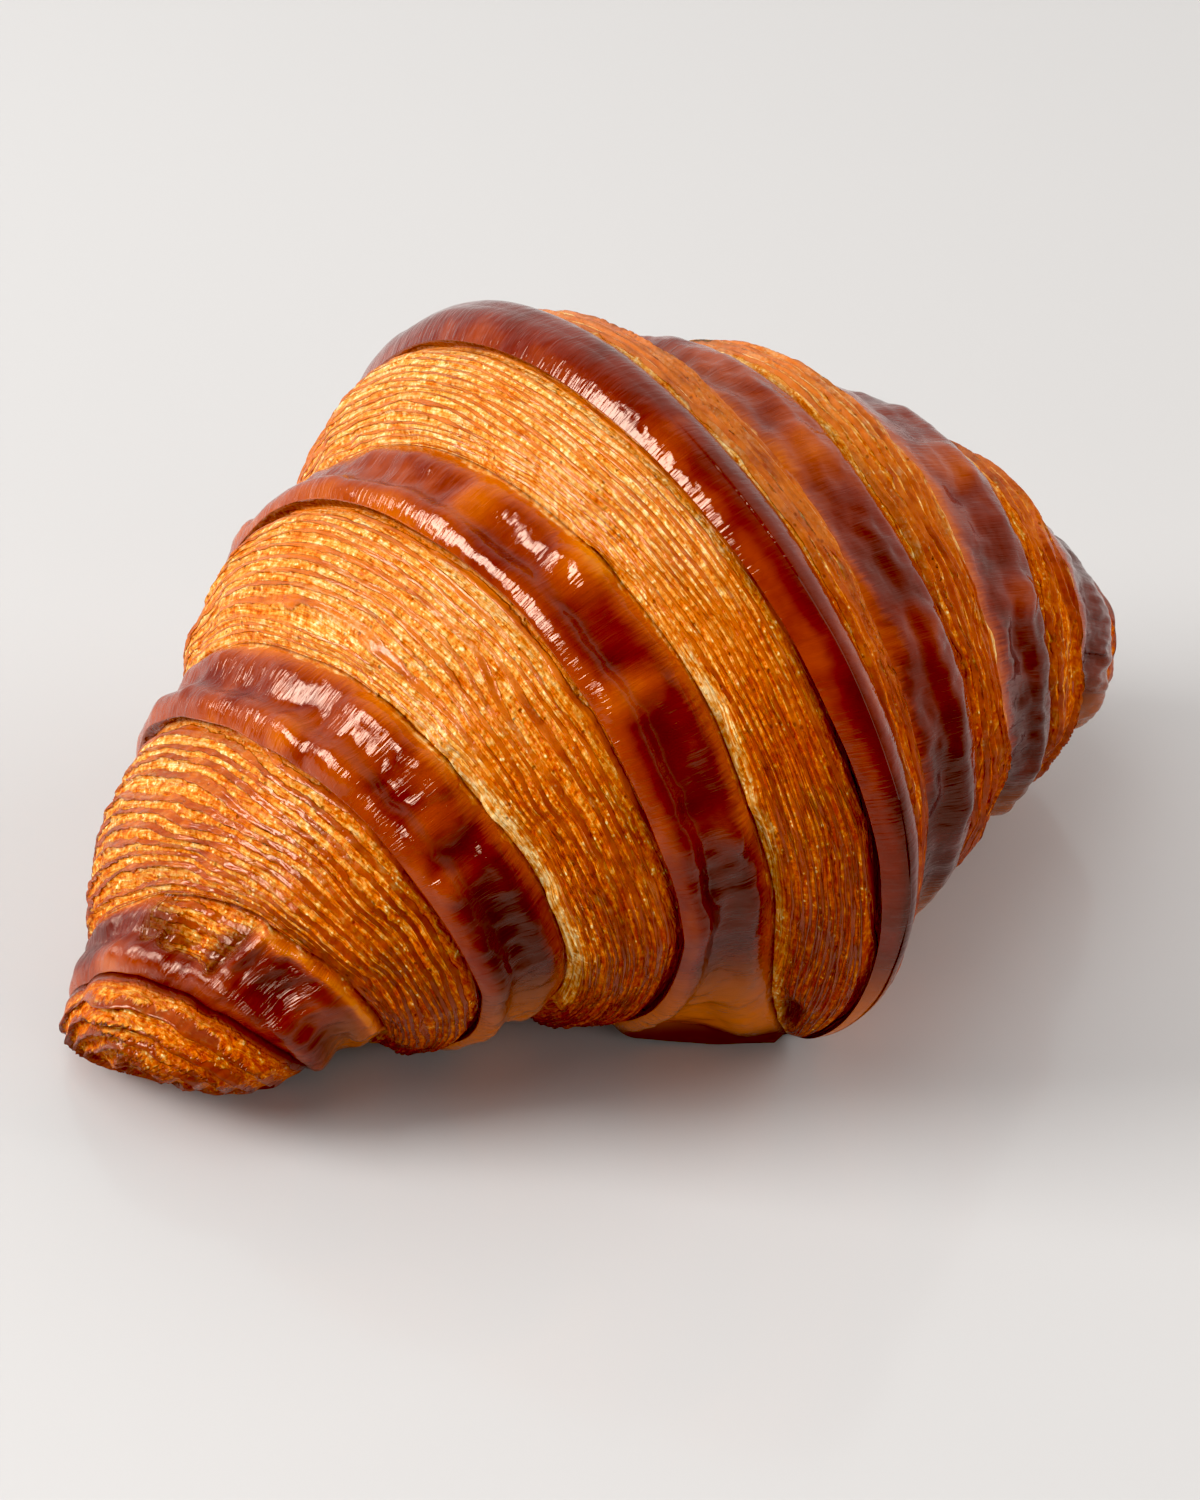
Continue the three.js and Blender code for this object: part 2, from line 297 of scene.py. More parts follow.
def place(x, radius, outer, turn):
    angle = 2 * np.pi * turn
    lift = np.sin(angle)
    low = np.maximum(-lift, 0.0)
    body = outer + swell(x, turn)
    groove = outer - radius
    free = axis_height(x) + HEIGHT_RATIO * body * lift
    relief = relief_at(x, body, turn)
    to_tail = np.clip((x - TAPER_START) / (TAPER_END - TAPER_START), 0.0, 1.0)
    taper = NOSE_TAPER + (TAIL_TAPER - NOSE_TAPER) * to_tail
    across = (body - groove) * np.cos(angle) * (1 - taper * low)
    z = np.maximum(settle(free) - HEIGHT_RATIO * groove * lift * relief - FLOOR_PRESS, 0.0)
    return np.stack([x - CENTRE_X, axis_offset(x) - across - CENTRE_Y, z], -1)


def waves(turn, terms, row, seed):
    """Unevenness along a line, each term from its own row of the noise."""
    return sum(height * noise(turn * count, row + 2.0 * k, seed) for k, (height, count) in enumerate(terms))


def lumps(arc, across, terms, seed, shift=0.0):
    return sum(height * noise(arc / length, across / width + shift, seed + k)
               for k, (height, length, width) in enumerate(terms))


def from_tongue(turn):
    """Rises from 0 to 1 over a short way from the tongue's end."""
    return smooth(turn, TONGUE_TURN + TONGUE_FADE[0], TONGUE_TURN + TONGUE_FADE[1])


def lip_line(keys, turn, seed):
    """A lip's place and radius, with the unevenness of dough that was rolled by hand."""
    end = TONGUE_TURN + TURNS
    fade = from_tongue(turn) * (1 - smooth(turn, end - TONGUE_FADE[1], end - TONGUE_FADE[0]))
    fade = fade * (1 - np.exp(-((turn - end + 1) / JOIN_FADE) ** 2))
    x = along(keys, turn, 1) + fade * waves(turn, LIP_SHIFTS, 0.5, seed)
    r = along(keys, turn, 2) + fade * waves(turn, LIP_LIFTS, 4.5, seed)
    return x, r - MIDDLE_SINK * fade * (turn < TONGUE_TURN + 1)


def middle_line(turn):
    x = 0.5 * (along(LEFT_LIP, turn, 1) + along(RIGHT_LIP, turn, 1))
    return x, TONGUE_RADIUS - MIDDLE_SINK * from_tongue(turn)


def band_height(side, seed, arc, part, across, length):
    """Rise of a glossy band over the straight line from its lip to its crease."""
    roll_width = np.minimum(ROLL_WIDTH[side], ROLL_SHARE * length)
    rise = np.clip(across / roll_width, 0.0, 1.0)
    fall = 1 - ROLL_FALL * smooth(across, roll_width, 2.0 * roll_width)
    roll = LIP_ROLL[side] * (1 - (1 - rise) ** 2) * fall
    second = SECOND_ROLL[side] * (0.85 + 0.8 * noise(arc / 9.0, 3.3 * side, seed + 15))
    roll = roll + second * np.exp(-((part - SECOND_ROLL_AT) / SECOND_ROLL_WIDTH) ** 2)
    roll = roll * (1 - smooth(part, 0.86, 1.0))
    inside = np.sin(np.pi * part)
    uneven = lumps(arc, across, (BAND_SWELL,), seed + 11, 7 * side)
    uneven = uneven + lumps(arc, across, BAND_LUMPS, seed + 12)
    depth, long, wide = BAND_WRINKLE
    uneven = uneven + depth * noise(arc / long + across * 0.5, across / wide, seed + 14)
    if side > 0:
        uneven = uneven + lumps(arc, across, (TAIL_WRINKLE,), seed + 16)
    roll = (roll - BAND_SAG * inside) * np.minimum(length / 8, 1)
    return roll + uneven * inside * np.minimum(length / 10, 1)


def middle_height(side, arc, part, across, length):
    """Rise of the outermost turn: one domed strip, whose two halves share their unevenness."""
    from_middle = side * (1 - part) * length
    rise = np.clip(across / np.minimum(MIDDLE_ROLL_WIDTH, length), 0.0, 1.0)
    dome = MIDDLE_DOME * (1 - (1 - part) ** 2) * np.minimum(length / 3.0, 1)
    dome = dome + MIDDLE_ROLL * (1 - (1 - rise) ** 2) * np.minimum(length / 4.0, 1)
    uneven = lumps(arc, from_middle, MIDDLE_LUMPS, MIDDLE_SEED, 9.5)
    return dome + np.sin(0.5 * np.pi * part) * np.minimum(length / 6, 1) * uneven


def blisters_at(side, lip, t, part, length):
    """Height of a side's blisters, and how close each point is to the top of one."""
    height = np.zeros(length.shape)
    near = np.zeros(length.shape)
    for b_side, b_turn, b_part, b_radius, b_height in BLISTERS:
        if b_side == side:
            here = (t - b_turn) * 2 * np.pi * float(along(lip, b_turn, 2))
            off = (part - b_part) * length
            top = np.clip(1 - (here ** 2 + off ** 2) / b_radius ** 2, 0, 1)
            height = height + BLISTER_RISE * b_height * top ** 0.9
            near = np.maximum(near, top)
    return height, near


def torn_skin(t, arc, part, across):
    """Share of open crumb where the last band's skin is torn, its curled edge, and their height."""
    ragged = part + lumps(arc, across, (RAGGED,), TORN_SEED)
    start = TORN_PART + TORN_SLANT * np.maximum(t - TORN_SLANT_FROM, 0)
    torn = smooth(t, *TORN_START) * (1 - smooth(t, *TORN_END)) * smooth(ragged, start, start + 0.06)
    crumbs = np.maximum(lumps(arc, across, (TORN_LUMP,), TORN_SEED + 1), -0.2)
    on_side = 0.8 * np.exp(-((t - CURL_TURN) / CURL_HALF_TURN) ** 2) * smooth(part, 0.38, 0.52)
    line = CURL_PART + 0.05 * noise(arc / 5.0, 8.5, TORN_SEED + 2)
    on_crease = smooth(t, *CURL_CREASE) * (1 - smooth(t, CURL_TURN, CURL_TURN + 0.008))
    on_crease = on_crease * np.exp(-((part - line) / CURL_WIDTH) ** 2)
    curl = np.maximum(on_side, on_crease)
    curl_height = 1.0 + 0.5 * noise(arc / 3.0, 9.5, TORN_SEED + 3)
    return torn, curl, torn * (TORN_CRUMBS * crumbs - TORN_DEPTH) + curl * curl_height


def layers_at(seed, t, arc, part, layers):
    """How many layers the face has there, and which of them each point is on."""
    index = np.clip(np.floor(t - TONGUE_TURN + 1e-9).astype(int) - 1, 0, 2)
    count = np.array(layers)[index]
    drift = 1.6 * np.sin(2 * np.pi * t + 0.6) + 2.4 * (t - np.floor(t - TONGUE_TURN) - 0.3)
    wander = sum(share * noise(arc / length, part * across, seed + 21 + k)
                 for k, (share, length, across) in enumerate(LAYER_WANDER))
    wander = wander + UNEVEN_PITCH * noise(part * count * 0.45, arc / 70.0, seed + 27)
    return count, count * part + (wander + drift * 0.35) * smooth(part, 0.0, 0.2) + 0.5


def face_height(seed, arc, part, size, count, layer, bold):
    """Rise of a laminated face over the straight line from its crease to the lip before."""
    phase = layer - np.floor(layer)
    edge = np.exp(-((phase - 0.50) / np.where(phase < 0.5, *EDGE_WIDTHS)) ** 2)
    pillow = PILLOW * np.sin(np.pi * np.clip((phase - 0.58) % 1.0 / 0.80, 0, 1))
    strength = 0.80 + 0.45 * noise(arc / 18.0, np.floor(layer) * 1.7, seed + 24)
    scale = np.minimum(size / np.maximum(count, 1) / 1.15, 1.6)
    scale = scale * (FINE_DEPTH + (LAYER_DEPTH - FINE_DEPTH) * bold)
    ends = smooth(part, 0.0, 0.05) * smooth(1 - part, 0.0, 0.05)
    bulge = FACE_BULGE * np.sin(np.pi * part ** BULGE_POWER) * np.minimum(size / 14, 1)
    undercut = smooth(part, 0.86, 0.975) * (1 - smooth(part, 0.975, 1.0))
    bulge = bulge - LIP_UNDERCUT * undercut * np.minimum(size / 8, 1)
    across = part * size
    uneven = lumps(arc, across, FACE_LUMPS, seed + 25) * ends
    crest = (1 - smooth(part, 0.12, 0.26)) * smooth(part, 0.0, 0.04) * (1 - bold)
    rise, long, wide = CREST_LUMP
    lump = rise * np.maximum(noise(arc / long, across / wide, seed + 28), -0.3)
    ridge = scale * strength * (edge + pillow - EDGE_LEVEL) * ends * (1 - 0.7 * crest)
    return bulge + (ridge + uneven + lump * crest) * np.minimum(size / 5, 1)


def dark_places(t, part):
    """Depth of the hollow beside the tongue and of the gap under the first lip, and how much shade is
    painted there.
    """
    off = (part - HOLLOW_PART) / HOLLOW_WIDTH
    hollow = np.exp(-((t - HOLLOW_TURN) / HOLLOW_HALF_TURN) ** 2 - off ** 2)
    gap = smooth(part, 0.885, 0.945) * np.exp(-((t - GAP_TURN) / GAP_HALF_TURN) ** 2)
    depth = HOLLOW_DEPTH * hollow + GAP_DEPTH * gap * (1 - smooth(part, 0.972, 1.0))
    return depth, np.maximum(hollow, gap)


def raise_from(start_x, start_r, dx, dr, part, height):
    """Points on a straight line across the strip, moved out from it by a height."""
    length = np.maximum(np.hypot(dx, dr), 1e-6)
    x = start_x[:, None] + dx * part - np.sign(dx) * height * dr / length
    r = start_r[:, None] + dr * part + height * np.abs(dx) / length
    return x, r


def build_strip(lip, crease, side, layers, seed):
    """Positions and painted values of one strip, on a grid of rows by columns."""
    rows = TURNS * ROWS + 1
    turn = TONGUE_TURN + np.arange(rows) / ROWS
    first = np.arange(rows) <= ROWS
    lip_x, lip_r = lip_line(lip, turn, seed)
    inner_x, inner_r = lip_line(lip, turn - 1, seed)
    mid_x, mid_r = middle_line(turn)
    inner_x = np.where(first, mid_x, inner_x)
    inner_r = np.where(first, mid_r, inner_r)
    _, inner_x[ROWS], inner_r[ROWS] = lip[0]
    crease_x = along(crease, turn, 1) + waves(turn, CREASE_SHIFTS, 1.5, seed + 5)
    crease_r = along(crease, turn, 2) + waves(turn, CREASE_LIFTS, 3.5, seed + 5)
    crease_x = np.where(first, inner_x, crease_x)
    crease_r = np.where(first, inner_r, crease_r)

    t = turn[:, None]
    arc = t * 2 * np.pi * ARC_RADIUS
    outermost = t <= TONGUE_TURN + 1

    # Glossy band
    part = ((np.arange(BAND_COLUMNS + 1) / BAND_COLUMNS) ** BAND_SPACING)[None, :]
    dx = (crease_x - lip_x)[:, None]
    dr = (crease_r - lip_r)[:, None]
    length = np.maximum(np.hypot(dx, dr), 1e-6)
    across = part * length
    height = np.where(outermost, middle_height(side, arc, part, across, length),
                      band_height(side, seed, arc, part, across, length))
    rise, blister_and_painted_shade = blisters_at(side, lip, t, part, np.broadcast_to(length, height.shape))
    height = height + rise
    torn = np.zeros(height.shape)
    if side < 0:
        torn, curl, rise = torn_skin(t, arc, part, across)
        height = height + rise
        blister_and_painted_shade = np.maximum(blister_and_painted_shade, 1.3 * curl)
    height = height * relief_at(lip_x, lip_r, turn)[:, None]
    band_x, band_r = raise_from(lip_x, lip_r, dx, dr, part, height)
    band = {
        "laminated": np.where(outermost, 0.0, torn),
        "part": np.where(outermost, 0.5 * part, part),
        "layer": np.where(t <= TONGUE_TURN + 1.0001, -1.0, torn * across / TORN_LAYER),
        "slant": across,
        "blister_and_painted_shade": blister_and_painted_shade,
    }

    # Laminated face
    part = (np.arange(FACE_COLUMNS + 1) / FACE_COLUMNS)[None, :]
    fx = (inner_x - crease_x)[:, None]
    fr = (inner_r - crease_r)[:, None]
    size = np.maximum(np.hypot(fx, fr), 1e-6)
    bold = np.where(side < 0, smooth(t, 2.80, 3.0), 0.0)
    count, layer = layers_at(seed, t, arc, part, layers)
    height = face_height(seed, arc, part, size, count, layer, bold)
    shade = np.zeros(height.shape)
    if side < 0:
        depth, shade = dark_places(t, part)
        height = height - depth
    height = height * relief_at(inner_x, inner_r, turn)[:, None]
    face_x, face_r = raise_from(crease_x, crease_r, fx, fr, part, height)
    face = {
        "laminated": np.where(np.arange(rows)[:, None] <= ROWS, 0.0, np.ones(height.shape)),
        "part": part.repeat(rows, 0),
        "layer": layer,
        "slant": length + part * size,
        # the share of painted shade in the dark places
        "blister_and_painted_shade": shade,
    }

    x = np.concatenate([band_x, face_x[:, 1:]], 1)
    r = np.concatenate([band_r, face_r[:, 1:]], 1)
    span = (inner_x - lip_x)[:, None]
    share = np.clip((x - lip_x[:, None]) / np.where(np.abs(span) > 1e-6, span, 1.0), 0.0, 1.0)
    outer = np.maximum(lip_r[:, None] + (inner_r - lip_r)[:, None] * share, r)
    points = place(x, r, outer, np.broadcast_to(t, x.shape))
    values = {name: np.concatenate([band[name], face[name][:, 1:]], 1) for name in band}
    values["laminated"][ROWS + 1:, BAND_COLUMNS] = 1.0
    values["arc"] = np.broadcast_to(arc, x.shape)
    values["terrace"] = np.broadcast_to(bold, x.shape)
    return points, values


# Values at the corners of the faces: share of open layers, part across the band or face, layer, length
# along and across the strip, blister on a band or painted shade of a dark place on a face, and share of bold
# layers
NAMES = ("laminated", "part", "layer", "arc", "slant", "blister_and_painted_shade", "terrace")


def corners_of(grid):
    """The four corners of each cell of a grid, one row to a cell."""
    four = np.stack([grid[:-1, :-1], grid[:-1, 1:], grid[1:, 1:], grid[1:, :-1]], 2)
    return four.reshape(-1, 4, *grid.shape[2:])


class Skin:
    """Collects the shared points, the faces and the values at their corners."""

    def __init__(self):
        self.points = []
        self.count = 0
        self.faces = []
        self.corners = []

    def add(self, points):
        ids = np.arange(self.count, self.count + len(points))
        self.points.append(points)
        self.count += len(points)
        return ids

    def sheet(self, ids, values, uv, flip):
        """Quads between the rows and columns of a grid; what has no width falls away."""
        data = np.concatenate([np.stack([values[name] for name in NAMES], -1), uv], -1)
        quads = corners_of(ids)
        cells = corners_of(data)
        if flip:
            quads = quads[:, ::-1]
            cells = cells[:, ::-1]
        same = quads == np.roll(quads, -1, axis=1)
        doubled = same.sum(1)
        whole = doubled == 0
        self.faces.append(quads[whole])
        self.corners.append(cells[whole])
        for k in range(4):
            chosen = (doubled == 1) & same[:, k]
            keep = [c for c in range(4) if c != k]
            self.faces.append(quads[chosen][:, keep])
            self.corners.append(cells[chosen][:, keep])


skin = Skin()
left_strip = build_strip(LEFT_LIP, LEFT_CREASE, -1, LEFT_LAYERS, LEFT_SEED)
right_strip = build_strip(RIGHT_LIP, RIGHT_CREASE, 1, RIGHT_LAYERS, RIGHT_SEED)

# The two halves of the outermost turn share the points along the middle
middle_ids = skin.add(0.5 * (left_strip[0][:ROWS, BAND_COLUMNS] + right_strip[0][:ROWS, BAND_COLUMNS]))

# One map for baking: a slot for each side, in it a shelf for each turn and one for the end
UV_SLOTS = {-1: (0.02, 0.50), 1: (0.52, 0.98)}
UV_FIRST_SHELF = 0.09
UV_SHELF = 0.235
UV_CAP = (0.80, 0.19)
UV_EDGE = 0.01
UV_MARGIN = 0.02


def uv_grid(side, along_strip, up):
    """Map coordinates from 0 to 1 along the strip and up the side's slot."""
    low, high = UV_SLOTS[side]
    u = UV_EDGE + (1 - 2 * UV_EDGE) * along_strip
    u, v = np.broadcast_arrays(u, low + (high - low) * up)
    return np.stack([u, v], -1)


def lay_strip(strip, side, seed, cap):
    """Adds a strip and its rounded end to the skin, joined turn to turn."""
    points, values = strip
    ids = np.zeros(points.shape[:2], int)
    ids[0] = middle_ids[0]
    for row in range(1, TURNS * ROWS):
        if row < ROWS:
            ids[row, :BAND_COLUMNS] = skin.add(points[row, :BAND_COLUMNS])
            ids[row, BAND_COLUMNS:] = middle_ids[row]
        elif row == ROWS:
            ids[row, :BAND_COLUMNS] = skin.add(points[row, :BAND_COLUMNS])
            ids[row, BAND_COLUMNS:] = middle_ids[0]
        else:
            ids[row, :COLUMNS] = skin.add(points[row, :COLUMNS])
            ids[row, COLUMNS] = ids[row - ROWS, 0]
    ids[-1] = ids[-1 - ROWS, 0]

    around = np.arange(ROWS + 1) / ROWS
    column = (np.arange(COLUMNS + 1) / COLUMNS)[None, :]
    for turn in range(TURNS):
        start = turn * ROWS
        stop = start + ROWS
        shelf = UV_FIRST_SHELF if turn == 0 else UV_SHELF
        base = 0.0 if turn == 0 else UV_FIRST_SHELF + UV_SHELF * (turn - 1)
        up = base + shelf * (UV_MARGIN + (1 - 2 * UV_MARGIN) * column)
        here = {name: values[name][start:stop + 1] for name in NAMES}
        skin.sheet(ids[start:stop + 1], here, uv_grid(side, around[:, None], up), side > 0)

    # Rounded laminated end inside the last lip
    start = (TURNS - 1) * ROWS
    ring_ids = ids[start:start + ROWS, 0]
    ring = points[start:start + ROWS, 0]
    centre = ring.mean(0)
    ring_turn = around[None, :ROWS]
    inward = (np.arange(CAP_RINGS + 1) / CAP_RINGS)[:, None]
    share, count, rings = CAP_WANDER
    wander = share * noise(ring_turn * count, inward * rings, seed + 31)
    seam = smooth(np.minimum(ring_turn, 1 - ring_turn), 0.0, 0.05)
    layer = CAP_LAYERS * inward + wander * seam * smooth(inward, 0.0, 0.2) + 0.5
    phase = layer - np.floor(layer)
    edge = np.exp(-((phase - 0.5) / EDGE_WIDTHS[0]) ** 2) - 0.3
    fade = smooth(inward, 0.0, 0.1) * smooth(1 - inward, 0.0, 0.15)
    out = (np.sin(0.5 * np.pi * inward ** 0.7) + CAP_RIDGE * edge * fade)[..., None]
    pull = (inward * inward * 0.55 + inward * 0.45)[..., None]
    grid = ring[None, :, :] * (1 - pull) + centre * pull + out * np.array(cap)
    grid[..., 2] = np.maximum(grid[..., 2], 0.0)
    cap_ids = np.zeros((CAP_RINGS + 1, ROWS + 1), int)
    cap_ids[0, :ROWS] = ring_ids
    for k in range(1, CAP_RINGS):
        cap_ids[k, :ROWS] = skin.add(grid[k])
    apex = skin.add(grid[CAP_RINGS].mean(0)[None, :])
    cap_ids[CAP_RINGS] = apex[0]
    cap_ids[:CAP_RINGS, ROWS] = cap_ids[:CAP_RINGS, 0]
    wide = (CAP_RINGS + 1, ROWS + 1)
    full = {
        "laminated": np.ones(wide),
        "part": np.broadcast_to(1 - inward, wide),
        "layer": np.concatenate([layer, layer[:, :1]], 1),
        "arc": np.broadcast_to((around * 2 * np.pi * ARC_RADIUS)[None, :], wide),
        "slant": np.broadcast_to(inward * CAP_REACH, wide),
        "blister_and_painted_shade": np.zeros(wide),
        "terrace": np.ones(wide),
    }
    up = UV_CAP[0] + UV_CAP[1] * inward
    skin.sheet(cap_ids, full, uv_grid(side, around[None, :], up), side < 0)


lay_strip(left_strip, -1, LEFT_SEED, NOSE_CAP)
lay_strip(right_strip, 1, RIGHT_SEED, TAIL_CAP)


def make_mesh():
    points = np.concatenate(skin.points) * MM
    points[:, 2] -= points[:, 2].min()
    loops = []
    totals = []
    data = []
    for faces, corners in zip(skin.faces, skin.corners):
        if len(faces):
            loops.append(faces.reshape(-1))
            totals.append(np.full(len(faces), faces.shape[1]))
            data.append(corners.reshape(-1, corners.shape[-1]))
    loops = np.concatenate(loops)
    totals = np.concatenate(totals)
    data = np.concatenate(data)
    mesh = bpy.data.meshes.new("croissant_crust")
    mesh.vertices.add(len(points))
    mesh.vertices.foreach_set("co", points.astype(np.float32).reshape(-1))
    mesh.loops.add(len(loops))
    mesh.loops.foreach_set("vertex_index", loops.astype(np.int32))
    mesh.polygons.add(len(totals))
    starts = np.concatenate([[0], np.cumsum(totals)[:-1]])
    mesh.polygons.foreach_set("loop_start", starts.astype(np.int32))
    mesh.polygons.foreach_set("loop_total", totals.astype(np.int32))
    for index, name in enumerate(NAMES):
        attribute = mesh.attributes.new(name, "FLOAT", "CORNER")
        attribute.data.foreach_set("value", data[:, index].astype(np.float32))
    uv = mesh.uv_layers.new(name="OFBake")
    uv.data.foreach_set("uv", data[:, len(NAMES):].astype(np.float32).reshape(-1))
    mesh.update(calc_edges=True)
    mesh.validate()
    mesh.polygons.foreach_set("use_smooth", np.ones(len(mesh.polygons), bool))
    mesh.update()
    return mesh


crust = bpy.data.objects.new("crust", make_mesh())
bpy.context.scene.collection.objects.link(crust)
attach(crust, "root")
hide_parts("croissant")


# Materials

def linear(red, green, blue):
    """A colour given as it looks on a screen, 0 to 255."""
    parts = []
    for value in (red, green, blue):
        value = value / 255
        parts.append(value / 12.92 if value <= 0.04045 else ((value + 0.055) / 1.055) ** 2.4)
    return (*parts, 1.0)


class Nodes:
    """Short ways to add and join shader nodes."""

    def __init__(self, material):
        material.use_nodes = True
        self.tree = material.node_tree
        self.tree.nodes.clear()

    def new(self, kind, **settings):
        node = self.tree.nodes.new(kind)
        for name, value in settings.items():
            setattr(node, name, value)
        return node

    def join(self, source, target):
        self.tree.links.new(source, target)

    def put(self, socket, value):
        if isinstance(value, bpy.types.NodeSocket):
            self.join(value, socket)
        else:
            socket.default_value = value

    def value(self, name):
        return self.new("ShaderNodeAttribute", attribute_type="GEOMETRY", attribute_name=name).outputs["Fac"]

    def math(self, operation, a, b=0.0, c=0.0):
        node = self.new("ShaderNodeMath", operation=operation)
        self.put(node.inputs[0], a)
        self.put(node.inputs[1], b)
        self.put(node.inputs[2], c)
        return node.outputs[0]

    def step(self, value, low, high, to_low=0.0, to_high=1.0):
        node = self.new("ShaderNodeMapRange", interpolation_type="SMOOTHSTEP")
        self.put(node.inputs["Value"], value)
        self.put(node.inputs["From Min"], low)
        self.put(node.inputs["From Max"], high)
        self.put(node.inputs["To Min"], to_low)
        self.put(node.inputs["To Max"], to_high)
        return node.outputs["Result"]

    def total(self, base, *terms):
        """A base with weighted values added to it; each term is a value and its weight."""
        for value, weight in terms:
            base = self.math("MULTIPLY_ADD", value, weight, base)
        return base

    def times(self, a, b):
        return self.math("MULTIPLY", a, b)

    def dot(self, vector, fixed):
        node = self.new("ShaderNodeVectorMath", operation="DOT_PRODUCT")
        self.join(vector, node.inputs[0])
        node.inputs[1].default_value = fixed
        return node.outputs["Value"]

    def mix(self, share, a, b):
        node = self.new("ShaderNodeMix", data_type="RGBA")
        self.put(node.inputs[0], share)
        self.put(node.inputs[6], a)
        self.put(node.inputs[7], b)
        return node.outputs[2]

    def blend(self, share, a, b):
        node = self.new("ShaderNodeMix", data_type="FLOAT")
        self.put(node.inputs[0], share)
        self.put(node.inputs[2], a)
        self.put(node.inputs[3], b)
        return node.outputs[0]

    def noise(self, vector, scale, detail, roughness=0.5, distortion=0.0):
        node = self.new("ShaderNodeTexNoise")
        node.inputs["Scale"].default_value = scale
        node.inputs["Detail"].default_value = detail
        node.inputs["Roughness"].default_value = roughness
        node.inputs["Distortion"].default_value = distortion
        self.join(vector, node.inputs["Vector"])
        return node.outputs["Fac"]

    def streaks(self, along_strip, across_strip, kind):
        """Noise drawn along the strip: its scale along and across it, then the noise's own values."""
        a, b, *settings = kind
        node = self.new("ShaderNodeCombineXYZ")
        self.put(node.inputs[0], self.times(along_strip, a))
        self.put(node.inputs[1], self.times(across_strip, b))
        return self.noise(node.outputs[0], 1.0, *settings)

    def voronoi(self, vector, scale):
        node = self.new("ShaderNodeTexVoronoi", feature="F1")
        self.put(node.inputs["Vector"], vector)
        self.put(node.inputs["Scale"], scale)
        return node.outputs["Distance"]

    def ramp(self, value, stops):
        node = self.new("ShaderNodeValToRGB")
        ramp = node.color_ramp
        while len(ramp.elements) < len(stops):
            ramp.elements.new(0.5)
        for element, (position, colour) in zip(ramp.elements, stops):
            element.position = position
            element.color = colour
        self.put(node.inputs[0], value)
        return node.outputs[0]


# Colours of the crust, from shaded to bright
CRUMB_COLOURS = (
    (0.24, linear(172, 56, 0)),
    (0.40, linear(214, 106, 12)),
    (0.53, linear(234, 162, 66)),
    (0.68, linear(253, 224, 160)),
)
EDGE_COLOURS = (
    (0.34, linear(122, 34, 1)),
    (0.50, linear(164, 60, 4)),
    (0.66, linear(206, 102, 16)),
)
BAND_COLOURS = (
    (0.00, linear(218, 124, 20)),
    (0.20, linear(192, 90, 8)),
    (0.42, linear(156, 57, 2)),
    (0.66, linear(112, 22, 0)),
    (1.00, linear(68, 5, 0)),
)
PORE_COLOUR = linear(124, 48, 6)
# Painted shade, for the gap under a lip and the dark places of a face
PAINTED_SHADE_COLOUR = linear(92, 22, 1)
# Paler rim: partly less glaze, partly painted bounce light from the floor
RIM_AND_BOUNCE_COLOUR = linear(236, 124, 20)
# Painted shade at the foot on the floor
FOOT_SHADE_COLOUR = linear(104, 50, 16)
GLOSS_TINT = (1.0, 0.74, 0.58, 1.0)

# Noise in space: cells in a metre, detail and roughness
PATCHES = (45.0, 3.0, 0.55)
BLOTCHES = (140.0, 3.0, 0.6)
RIPPLES = (280.0, 2.0, 0.6)
SPECK_AREAS = (330.0, 1.0, 0.5)
PORE_AREAS = (380.0, 1.0, 0.6)
SPECKLE = (520.0, 1.0, 0.6)
GRAIN = (1150.0, 2.0, 0.65)
PORES = 760.0
CELLS = 1350.0
GRAIN_STRETCH = (1.35, 1.0, 1.0)

# Noise on the strip: scale along and across it, detail, roughness and distortion
STREAKS = (0.14, 0.9, 4.0, 0.6)
STRANDS = (0.10, 2.4, 3.0, 0.6, 0.4)
THREADS = (0.22, 3.6, 3.0, 0.6, 0.5)
CROSSING = (2.2, 0.25, 2.0, 0.65, 0.4)
PLACE_NOISE = (0.035, 3.7, 2.0, 0.55)
WIDTH_NOISE = (0.30, 5.3, 3.0, 0.55)
KEPT_NOISE = (0.05, 7.9, 2.0, 0.55)

# The crust is paler towards this side and browner away from it, partly its own browning and partly painted
# light and shade from the key above and behind; towards the tail it is paler as painted light on the side
# the key leaves in shade
PALE_SIDE = (-0.25, 0.40, 0.80)
PALE_REACH = 0.056
TAIL_SIDE = (0.005, 0.050)

# Heights of the paler rim over the underside, partly painted bounce light, and of the painted shade at its
# foot on the floor
RIM_HEIGHT = (0.003, 0.026)
RIM_FROM_NOSE = (-0.052, -0.040)
FOOT_SHADE_HEIGHT = (0.001, 0.005)

BAND_GLOSS = 0.62
FINE_RELIEF = 0.0006
FINE_RELIEF_STRENGTH = 0.8


